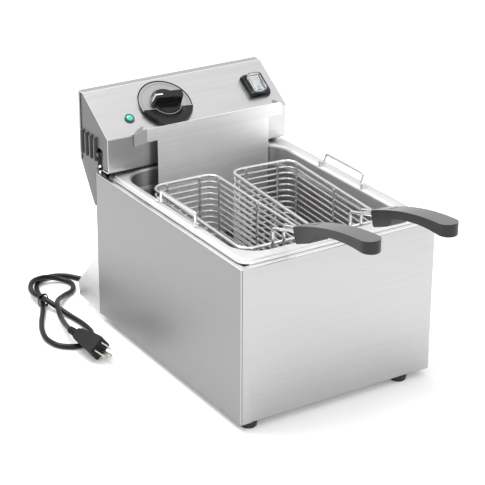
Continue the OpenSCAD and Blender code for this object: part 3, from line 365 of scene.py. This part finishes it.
def dressed(name, bevel=0.0):
    """A smooth-shaded copy of a CAD node, with its doubles merged, that stands for the node."""
    source = frame["nodes"][name]
    mesh = source.data.copy()
    mesh.materials.clear()
    mesh.materials.append(FINISHES[name])
    b = bmesh.new()
    b.from_mesh(mesh)
    bmesh.ops.remove_doubles(b, verts=b.verts, dist=MERGE_DISTANCE)
    if bevel:
        bmesh.ops.dissolve_limit(b, angle_limit=FLAT_ANGLE, verts=b.verts, edges=b.edges)
    b.to_mesh(mesh)
    b.free()
    mesh.shade_smooth()
    mesh.set_sharp_from_angle(angle=SHARP_ANGLE)
    piece = bpy.data.objects.new(f"dressed_{name}", mesh)
    scene.collection.objects.link(piece)
    if bevel:
        rounding = piece.modifiers.new("edges", "BEVEL")
        rounding.width = bevel
        rounding.segments = BEVEL_SEGMENTS
        rounding.limit_method = "ANGLE"
        rounding.angle_limit = BEVEL_ANGLE
        rounding.harden_normals = True
    else:
        level = piece.modifiers.new("flats", "WEIGHTED_NORMAL")
        level.keep_sharp = True
    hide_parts(name)
    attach(piece, BODY_OF[name])
    return piece


def paint_light_by_face(piece, finish, chosen):
    """Faces that pass the test get another material; the script uses this to paint highlights and
    shade onto chosen faces.
    """
    piece.data.materials.append(finish)
    place = len(piece.data.materials) - 1
    for face in piece.data.polygons:
        if chosen(face.center, face.normal):
            face.material_index = place


SMOOTHED = [
    "dial_bezel", "bail_clips", "sensor_bulbs", "lamp_bezel", "lamp_lens", "dial_plate",
    "switch_frame", "switch_cover", "rocker", "reset_button", "rubber_feet", "strain_relief",
    "back_panel", "head_back_cover", "rear_spacers", "head_bracket",
    "foot_screws", "rear_rivets", "cover_screws", "knob_shaft",
]
EDGES = {
    "oil_tank": 0.0004, "left_panel": 0.0004, "right_panel": 0.0004, "front_panel": 0.0004,
    "head_casing": 0.0008, "basket_hanger": 0.0003, "guard_plate": 0.0002, "knob": 0.0006,
}
GRIP_EDGE = 0.0008
CHEEKS = ("head_left_side", "head_right_side")
for name in SMOOTHED:
    dressed(name)
DRESSED = {name: dressed(name, width) for name, width in EDGES.items()}
for name in CHEEKS:
    DRESSED[name] = dressed(name)

# The tank's levels: its well and its wall above the shoulder, painted darker as shade, and the
# painted shadow of the joint under its lip.
SHOULDER, WELL_TOP = 0.183, 0.203
LIP_FOOT, LIP_TOP, LIP_EDGE = 0.2045, 0.2070, -0.12
# The panels' top hems start here, and the cheeks' louvres stand out past this plane.
HEM_FOOT = 0.19
CHEEK_PLANE = 0.1303
# How far a face's normal leans up, to the front or to the left where painted highlight and painted
# shade go on it.
HEM_FACING = 0.5
TOP_FACING = 0.6
LOUVRE_FACING = -0.25
BEND_FACING = (0.05, 0.50)
LEFT_SHADE_FACING = -0.3
tank = DRESSED["oil_tank"]
# Painted shade: the tank's steel is darker on its wall and darker still in its well.
paint_light_by_face(tank, tank_wall_painted_shade, lambda at, n: SHOULDER <= at.z < WELL_TOP)
paint_light_by_face(tank, tank_well_painted_shade, lambda at, n: at.z < SHOULDER)
# Painted shade: the tank lip's left-facing faces go near-black, for the shadow in the gap between
# lip and side panel.
paint_light_by_face(
    tank, painted_shade_dark,
    lambda at, n: LIP_FOOT < at.z < LIP_TOP and at.x < LIP_EDGE and n.x < LEFT_SHADE_FACING,
)
# Painted highlight: the panels' upward hems get the bright copy, for the line of light along them.
for name in ("left_panel", "right_panel", "front_panel"):
    paint_light_by_face(
        DRESSED[name], painted_highlight_steel, lambda at, n: at.z > HEM_FOOT and n.z > HEM_FACING
    )
# Painted shade: the louvres' front faces go near-black, standing in for the shade in their open
# slits.
for name in CHEEKS:
    paint_light_by_face(
        DRESSED[name], painted_shade_dark,
        lambda at, n: abs(at.x) > CHEEK_PLANE and n.y < LOUVRE_FACING,
    )
# Painted shade: the rail's left-facing end faces take the darker copy.
paint_light_by_face(DRESSED["basket_hanger"], rail_end_painted_shade, lambda at, n: n.x < LEFT_SHADE_FACING)
# Painted highlight: the head casing's upper bend gets the bright copy, for the thin line of light
# along it.
paint_light_by_face(
    DRESSED["head_casing"], painted_highlight_steel,
    lambda at, n: BEND_FACING[0] < -n.y < BEND_FACING[1] and n.z > 0,
)
for basket in BASKETS:
    grip = dressed(f"{basket}_grip", GRIP_EDGE)
    # Painted light: each grip's upward faces take the lighter copy of its plastic.
    paint_light_by_face(grip, grip_top_painted_light, lambda at, n: n.z > TOP_FACING)


# The control panel's slope: its lower edge and its lean, and the dial's place and turn on it.
SLOPE_FOOT = (316, 257)
SLOPE_LEAN = math.atan2(43, 64)
DIAL_SPOT = (-33, 36)
DIAL_TURN = math.radians(-5)
# The pointer's outline, along the knob's bar and above the dial, and half its width.
KNOB_END = [
    (-19.95, 9.2), (-18.95, 22.35), (-9.2, 22.35), (-9.2, 21.7), (-18.4, 21.7), (-19.4, 9.2)
]
POINTER_HALF = 0.9
# The painted shadow strip's width, how far it stands proud, and how far the front one is in from
# the edge.
SEAM_SHADOW_WIDTH = 0.7
SEAM_SHADOW_PROUD = 0.05
SEAM_SHADOW_INSET = 1.3


def plain_piece(name, points, faces, finish):
    mesh = bpy.data.meshes.new(name)
    mesh.from_pydata(points, [], faces)
    mesh.materials.append(finish)
    b = bmesh.new()
    b.from_mesh(mesh)
    bmesh.ops.recalc_face_normals(b, faces=b.faces)
    b.to_mesh(mesh)
    b.free()
    piece = bpy.data.objects.new(name, mesh)
    scene.collection.objects.link(piece)
    return piece


def prism(name, near, far, finish):
    """Two outlines of the same number of points, joined by a wall."""
    n = len(near)
    faces = [tuple(range(n)), tuple(range(n, 2 * n))]
    faces += [(i, (i + 1) % n, n + (i + 1) % n, n + i) for i in range(n)]
    return plain_piece(name, near + far, faces, finish)


def slope_point(across, along, height):
    """A point above the control panel's slope."""
    return bench(
        across,
        SLOPE_FOOT[0] + along * math.cos(SLOPE_LEAN) - height * math.sin(SLOPE_LEAN),
        SLOPE_FOOT[1] + along * math.sin(SLOPE_LEAN) + height * math.cos(SLOPE_LEAN),
    )


def dial_point(x, y, height):
    """A point of the dial's own plane, set on the slope."""
    across = DIAL_SPOT[0] + x * math.cos(DIAL_TURN) - y * math.sin(DIAL_TURN)
    along = DIAL_SPOT[1] + x * math.sin(DIAL_TURN) + y * math.cos(DIAL_TURN)
    return slope_point(across, along, height)


def make_pointer():
    near = [dial_point(x, -POINTER_HALF, z) for x, z in KNOB_END]
    far = [dial_point(x, POINTER_HALF, z) for x, z in KNOB_END]
    line = prism("knob_pointer", near, far, pointer_white)
    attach(line, "knob")


def make_seam_shadow(name, x0, y0, x1, y1, low, high):
    """An upright dark strip that paints the shadow in a joint between two sheets."""
    bottom = [(x0, y0, low), (x1, y0, low), (x1, y1, low), (x0, y1, low)]
    top = [(x, y, high) for x, y, _ in bottom]
    seam = prism(name, bottom, top, painted_shade_dark)
    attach(seam, "housing")


def make_corner_seam_shadows():
    """Painted shadow in the joints where the left side sheet meets the front sheet and the rear
    spacer.
    """
    (left, front, low), (_, _, high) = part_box("front_panel")
    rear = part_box("left_panel")[1][1]
    width, proud = SEAM_SHADOW_WIDTH * MM, SEAM_SHADOW_PROUD * MM
    x = left + SEAM_SHADOW_INSET * MM
    high -= width
    make_seam_shadow("front_seam", x, front - proud, x + width, front + width, low, high)
    make_seam_shadow("rear_seam", left - proud, rear - width, left + width, rear, low, high)


make_pointer()
make_corner_seam_shadows()
PLAIN_NODES = (
    "base_plate", "head_bottom_plate", "sensor_clamp", "thermostat", "limiter",
    "terminal_block", "cord_tie", "plug_body", "plug_pins",
)
for name in PLAIN_NODES:
    mesh = frame["nodes"][name].data
    mesh.materials.clear()
    mesh.materials.append(FINISHES[name])


# ---------------------------------------------------------------- wires
WIRE_INPUTS = {
    "Path": "Geometry", "Bend Radius": "Float", "Bend Steps": "Int", "Wire Radius": "Float",
    "Wire Sides": "Int", "Count": "Int", "Step": "Vector", "Finish": "Material",
}


def make_wire_tree():
    """A path becomes round wire: its corners are bent, and it is repeated at even steps."""
    tree = bpy.data.node_groups.new("repeated wire", "GeometryNodeTree")
    for name, kind in WIRE_INPUTS.items():
        tree.interface.new_socket(name, in_out="INPUT", socket_type=f"NodeSocket{kind}")
    tree.interface.new_socket("Wire", in_out="OUTPUT", socket_type="NodeSocketGeometry")
    add = tree.nodes.new
    given = add("NodeGroupInput")
    result = add("NodeGroupOutput")
    bend = add("GeometryNodeFilletCurve")
    bend.mode = "POLY"
    row = add("GeometryNodeMeshLine")
    row.mode = "OFFSET"
    spread = add("GeometryNodeInstanceOnPoints")
    real = add("GeometryNodeRealizeInstances")
    section = add("GeometryNodeCurvePrimitiveCircle")
    sweep = add("GeometryNodeCurveToMesh")
    sweep.inputs["Fill Caps"].default_value = True
    smooth = add("GeometryNodeSetShadeSmooth")
    paint = add("GeometryNodeSetMaterial")
    link = tree.links.new
    link(given.outputs["Path"], bend.inputs["Curve"])
    link(given.outputs["Bend Radius"], bend.inputs["Radius"])
    link(given.outputs["Bend Steps"], bend.inputs["Count"])
    link(given.outputs["Count"], row.inputs["Count"])
    link(given.outputs["Step"], row.inputs["Offset"])
    link(row.outputs["Mesh"], spread.inputs["Points"])
    link(bend.outputs["Curve"], spread.inputs["Instance"])
    link(spread.outputs["Instances"], real.inputs["Geometry"])
    link(real.outputs["Geometry"], sweep.inputs["Curve"])
    link(given.outputs["Wire Sides"], section.inputs["Resolution"])
    link(given.outputs["Wire Radius"], section.inputs["Radius"])
    link(section.outputs["Curve"], sweep.inputs["Profile Curve"])
    link(sweep.outputs["Mesh"], smooth.inputs["Geometry"])
    link(smooth.outputs["Geometry"], paint.inputs["Geometry"])
    link(given.outputs["Finish"], paint.inputs["Material"])
    link(paint.outputs["Geometry"], result.inputs["Wire"])
    return tree


WIRE_TREE = make_wire_tree()


def set_inputs(modifier, **values):
    """Sets a Geometry Nodes modifier's inputs by their names, through the sockets' identifiers."""
    for item in modifier.node_group.interface.items_tree:
        key = item.name.replace(" ", "_").lower()
        if item.in_out == "INPUT" and key in values:
            modifier[item.identifier] = values[key]


def made_mesh(source, name):
    """The evaluated curve as a plain mesh object of its own; the source goes."""
    graph = bpy.context.evaluated_depsgraph_get()
    mesh = bpy.data.meshes.new_from_object(source.evaluated_get(graph))
    mesh.name = name
    curve = source.data
    bpy.data.objects.remove(source)
    bpy.data.curves.remove(curve)
    piece = bpy.data.objects.new(name, mesh)
    scene.collection.objects.link(piece)
    return piece


def wire(
    name, points, radius, bend=0.0, closed=False, count=1, step=(0, 0, 0), finish=wire_steel,
    sides=10, bend_steps=6,
):
    """Round wire along points of the frame, repeated count times at even steps."""
    data = bpy.data.curves.new(name, "CURVE")
    data.dimensions = "3D"
    line = data.splines.new("POLY")
    line.points.add(len(points) - 1)
    for spot, point in zip(line.points, points):
        spot.co = (*point, 1)
    line.use_cyclic_u = closed
    source = bpy.data.objects.new(name, data)
    scene.collection.objects.link(source)
    bender = source.modifiers.new("repeated wire", "NODES")
    bender.node_group = WIRE_TREE
    set_inputs(
        bender, bend_radius=bend, bend_steps=bend_steps, wire_radius=radius, wire_sides=sides,
        count=count, step=tuple(step), finish=finish,
    )
    return made_mesh(source, name)


def stand_in(piece, *nodes):
    """The piece takes over from CAD nodes of one body and one finish."""
    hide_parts(*nodes)
    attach(piece, BODY_OF[nodes[0]])


# A painted highlight: a thin grey wire along the dial guard's upper edge, which passes round the
# knob's skirt.
GUARD_CHORD = -10.5
GUARD_LEVEL = 7.0
GUARD_RADIUS = 35.3
SKIRT_RADIUS = 20.8
HIGHLIGHT_RADIUS = 0.4
HIGHLIGHT_STEPS = 10


def make_guard_edge_highlight():
    outer = math.sqrt(GUARD_RADIUS ** 2 - GUARD_CHORD ** 2)
    first = math.pi + math.asin(-GUARD_CHORD / SKIRT_RADIUS)
    last = 2 * math.pi - math.asin(-GUARD_CHORD / SKIRT_RADIUS)
    path = [(-outer, GUARD_CHORD)]
    for i in range(HIGHLIGHT_STEPS + 1):
        turn = first + (last - first) * i / HIGHLIGHT_STEPS
        path.append((SKIRT_RADIUS * math.cos(turn), SKIRT_RADIUS * math.sin(turn)))
    path.append((outer, GUARD_CHORD))
    highlight_wire = wire(
        "dial_guard_edge", [dial_point(x, y, GUARD_LEVEL) for x, y in path], HIGHLIGHT_RADIUS * MM,
        finish=guard_edge_highlight,
    )
    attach(highlight_wire, "head")


make_guard_edge_highlight()

# The line printed round the dial face, and the round mark on the rocker's lower half.
DIAL_RING_RADIUS = 31.5
DIAL_RING_STEPS = 48
DIAL_RING_LEVEL = 2.2
PRINT_RADIUS = 0.22
SWITCH_SPOT = (102, 35.5)
ROCKER_PIVOT = 4
ROCKER_REST = math.radians(8)
MARK_SPOT = -6.2
MARK_LEVEL = 4.05
MARK_RADIUS = 1.7
MARK_STEPS = 20


def make_dial_ring():
    low = math.asin(GUARD_CHORD / DIAL_RING_RADIUS)
    path = []
    for i in range(DIAL_RING_STEPS + 1):
        turn = low + (math.pi - 2 * low) * i / DIAL_RING_STEPS
        path.append(dial_point(
            DIAL_RING_RADIUS * math.cos(turn), DIAL_RING_RADIUS * math.sin(turn), DIAL_RING_LEVEL
        ))
    ring = wire("dial_ring", path, PRINT_RADIUS * MM, finish=print_grey, sides=6)
    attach(ring, "head")


def make_rocker_mark():
    path = []
    for i in range(MARK_STEPS):
        turn = 2 * math.pi * i / MARK_STEPS
        across = MARK_RADIUS * math.cos(turn)
        along = MARK_SPOT + MARK_RADIUS * math.sin(turn)
        tilted = along * math.cos(ROCKER_REST) - MARK_LEVEL * math.sin(ROCKER_REST)
        height = ROCKER_PIVOT + along * math.sin(ROCKER_REST) + MARK_LEVEL * math.cos(ROCKER_REST)
        path.append(slope_point(SWITCH_SPOT[0] + across, SWITCH_SPOT[1] + tilted, height))
    mark = wire("rocker_mark", path, PRINT_RADIUS * MM, closed=True, finish=print_grey, sides=6)
    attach(mark, "rocker")


make_dial_ring()
make_rocker_mark()


# ---------------------------------------------------------------- baskets
# Where each basket's middle stands (across, depth), and its turn in degrees.
BASKET_PLACES = {"left_basket": (-56, 157, -1.5), "right_basket": (51, 149.5, -3.5)}
# A basket's wires in its own millimetres, with levels above the bench.
HALF_WIDTH = 44
HALF_LENGTH = 111
CORNER = 15
RIM_LEVEL = 204
FLOOR_LEVEL = 84
RING_COUNT = 14
RING_STEP = 8
RIM_RADIUS = 2.2
RING_RADIUS = 1.4
UPRIGHT_RADIUS = 1.6
WELD = 0.2
WELD_INSET = RING_RADIUS + UPRIGHT_RADIUS - WELD
SIDE_BEND, END_BEND = 5, 2
SIDE_POSTS = (-91, 0, 91)
END_POSTS = (-23, 23)
FLOOR_WIRES = 9
FLOOR_STEP = 9
FLOOR_END = HALF_LENGTH - 4
YOKE_RADIUS = 2.0
YOKE_SIDE = 7.5
YOKE_Y = -HALF_LENGTH - RIM_RADIUS - YOKE_RADIUS + WELD
YOKE_FOOT = RIM_LEVEL - 18
YOKE_BEND_LEVEL = RIM_LEVEL + 21
YOKE_BEND = 6
# The grip's root, how far below its top the yoke enters it, and how far in it goes.
GRIP_ROOT = (-HALF_LENGTH - 52, RIM_LEVEL + 41.5)
GRIP_ENTRY, GRIP_REACH = 6, 15


def placer(basket):
    """Two functions that take a basket's own millimetres, as a point or a step, to the frame."""
    across, depth, turn = BASKET_PLACES[basket]
    spin = Matrix.Rotation(math.radians(turn), 3, "Z")

    def point(x, y, z):
        x, y, _ = spin @ Vector((x, y, 0))
        return bench(across + x, depth + y, z)

    def step(x, y, z):
        return spin @ (Vector((x, y, z)) * MM)

    return point, step


def loop(point, level):
    w, l = HALF_WIDTH, HALF_LENGTH
    return [point(x, y, level) for x, y in ((-w, -l), (w, -l), (w, l), (-w, l))]


def basket_wires(basket):
    point, step = placer(basket)
    side_x = HALF_WIDTH - WELD_INSET
    end_y = HALF_LENGTH - WELD_INSET
    side_foot = FLOOR_LEVEL + WELD_INSET
    end_foot = side_foot + 2 * UPRIGHT_RADIUS - WELD
    rim = wire(
        f"{basket}_top_wire", loop(point, RIM_LEVEL), RIM_RADIUS * MM, bend=CORNER * MM,
        closed=True, sides=14, bend_steps=10,
    )
    stand_in(rim, f"{basket}_rim")
    rings = wire(
        f"{basket}_rings", loop(point, RIM_LEVEL - RING_STEP), RING_RADIUS * MM,
        bend=CORNER * MM, closed=True, count=RING_COUNT, step=step(0, 0, -RING_STEP), bend_steps=8,
    )
    stand_in(rings, f"{basket}_ends", f"{basket}_sides")
    y = SIDE_POSTS[0]
    side_hoops = wire(
        f"{basket}_side_hoops",
        [point(-side_x, y, RIM_LEVEL), point(-side_x, y, side_foot),
         point(side_x, y, side_foot), point(side_x, y, RIM_LEVEL)],
        UPRIGHT_RADIUS * MM, bend=SIDE_BEND * MM, count=len(SIDE_POSTS),
        step=step(0, SIDE_POSTS[1] - SIDE_POSTS[0], 0),
    )
    stand_in(side_hoops, f"{basket}_sides", f"{basket}_floor")
    x = END_POSTS[0]
    end_hoops = wire(
        f"{basket}_end_hoops",
        [point(x, -end_y, RIM_LEVEL), point(x, -end_y, end_foot),
         point(x, end_y, end_foot), point(x, end_y, RIM_LEVEL)],
        UPRIGHT_RADIUS * MM, bend=END_BEND * MM, count=len(END_POSTS),
        step=step(END_POSTS[1] - END_POSTS[0], 0, 0),
    )
    stand_in(end_hoops, f"{basket}_ends", f"{basket}_floor")
    first = -FLOOR_STEP * (FLOOR_WIRES - 1) / 2
    grid = wire(
        f"{basket}_floor_grid",
        [point(first, -FLOOR_END, FLOOR_LEVEL), point(first, FLOOR_END, FLOOR_LEVEL)],
        RING_RADIUS * MM, count=FLOOR_WIRES, step=step(FLOOR_STEP, 0, 0),
    )
    stand_in(grid, f"{basket}_floor")
    root_y, root_z = GRIP_ROOT
    rise = (root_z - GRIP_ENTRY - YOKE_BEND_LEVEL) / (YOKE_Y - root_y)
    end_y = root_y - GRIP_REACH
    yoke = wire(
        f"{basket}_yoke_wires",
        [point(-YOKE_SIDE, YOKE_Y, YOKE_FOOT), point(-YOKE_SIDE, YOKE_Y, YOKE_BEND_LEVEL),
         point(-YOKE_SIDE, end_y, YOKE_BEND_LEVEL + (YOKE_Y - end_y) * rise)],
        YOKE_RADIUS * MM, bend=YOKE_BEND * MM, count=2, step=step(2 * YOKE_SIDE, 0, 0), sides=12,
    )
    stand_in(yoke, f"{basket}_yoke")


for basket in BASKETS:
    basket_wires(basket)


# ---------------------------------------------------------------- bails and heating tubes
BAIL_RADIUS = 1.75
BAIL_HINGE = 211.4
BAIL_HEIGHT = 13
BAIL_ENDS = (127, 207)
BAIL_STUB = 8
BAIL_BEND = 2


def make_bail(name, across, lean):
    first, last = BAIL_ENDS
    out = across + BAIL_HEIGHT * math.sin(math.radians(lean))
    top = BAIL_HINGE + BAIL_HEIGHT * math.cos(math.radians(lean))
    points = [
        (across, first - BAIL_STUB, BAIL_HINGE), (across, first, BAIL_HINGE), (out, first, top),
        (out, last, top), (across, last, BAIL_HINGE), (across, last + BAIL_STUB, BAIL_HINGE),
    ]
    bail = wire(
        f"{name}_wire", [bench(*p) for p in points], BAIL_RADIUS * MM, bend=BAIL_BEND * MM,
        sides=16, bend_steps=8,
    )
    stand_in(bail, name)


make_bail("left_bail", -118, 0)
make_bail("right_bail", 118, 18)

ELEMENT_RADIUS = 3.3
ELEMENT_LEVEL = 68.2
ELEMENT_TOP = 233.5
ELEMENT_RISER = 309.6
ELEMENT_FRONT, ELEMENT_BACK = 70, 332
ELEMENT_BEND = 9
ELEMENT_PAIRS = {"left": (-51, -5), "right": (43, 83)}
for side, (near, far) in ELEMENT_PAIRS.items():
    path = [
        (near, ELEMENT_BACK, ELEMENT_TOP), (near, ELEMENT_RISER, ELEMENT_TOP),
        (near, ELEMENT_RISER, ELEMENT_LEVEL), (near, ELEMENT_FRONT, ELEMENT_LEVEL),
        (far, ELEMENT_FRONT, ELEMENT_LEVEL), (far, ELEMENT_RISER, ELEMENT_LEVEL),
        (far, ELEMENT_RISER, ELEMENT_TOP), (far, ELEMENT_BACK, ELEMENT_TOP),
    ]
    tube = wire(
        f"heating_tube_{side}", [bench(*p) for p in path], ELEMENT_RADIUS * MM,
        bend=ELEMENT_BEND * MM, finish=element_metal, sides=18, bend_steps=10,
    )
    stand_in(tube, "heating_elements")


# ---------------------------------------------------------------- studio
# The sky is dimmer at the horizon than overhead.
SKY_LOW = 0.50
SKY_HIGH = 1.15
BENCH_REACH = 12.0
BENCH_GLOW = 0.12
WHITE = (1, 1, 1, 1)
# Each light's name, place, aim, size and power.
LIGHTS = (
    ("key", (0.4, -2.6, 1.6), (0, 0, 0.15), 1.6, 10),
    ("fill", (2.2, -0.8, 1.6), (0, 0, 0.15), 1.8, 4),
    ("top", (-0.7, 1.1, 3.0), (0, 0, 0.1), 2.0, 80),
)


def make_sky():
    world = bpy.data.worlds.new("studio")
    world.use_nodes = True
    sky = world.node_tree.nodes["Background"]
    sky.inputs["Color"].default_value = WHITE
    links = world.node_tree.links
    add = world.node_tree.nodes.new
    toward = add("ShaderNodeTexCoord")
    parts = add("ShaderNodeSeparateXYZ")
    climb = add("ShaderNodeMapRange")
    climb.inputs["To Min"].default_value = SKY_LOW
    climb.inputs["To Max"].default_value = SKY_HIGH
    links.new(toward.outputs["Generated"], parts.inputs["Vector"])
    links.new(parts.outputs["Z"], climb.inputs["Value"])
    links.new(climb.outputs["Result"], sky.inputs["Strength"])
    scene.world = world


def make_bench():
    mesh = bpy.data.meshes.new("bench_top")
    r = BENCH_REACH
    mesh.from_pydata([(-r, -r, 0), (r, -r, 0), (r, r, 0), (-r, r, 0)], [], [(0, 1, 2, 3)])
    mesh.materials.append(
        plastic("bench", grey(0.95), 0.9, Emission_Color=WHITE, Emission_Strength=BENCH_GLOW)
    )
    floor = bpy.data.objects.new("bench_top", mesh)
    scene.collection.objects.link(floor)


def make_lights():
    for name, spot, aim, size, power in LIGHTS:
        lamp = bpy.data.lights.new(name, "AREA")
        lamp.size = size
        lamp.energy = power
        light = bpy.data.objects.new(name, lamp)
        light.location = spot
        light.rotation_euler = (Vector(aim) - Vector(spot)).to_track_quat("-Z", "Y").to_euler()
        scene.collection.objects.link(light)


make_sky()
make_bench()
make_lights()
scene.view_settings.view_transform = "Standard"
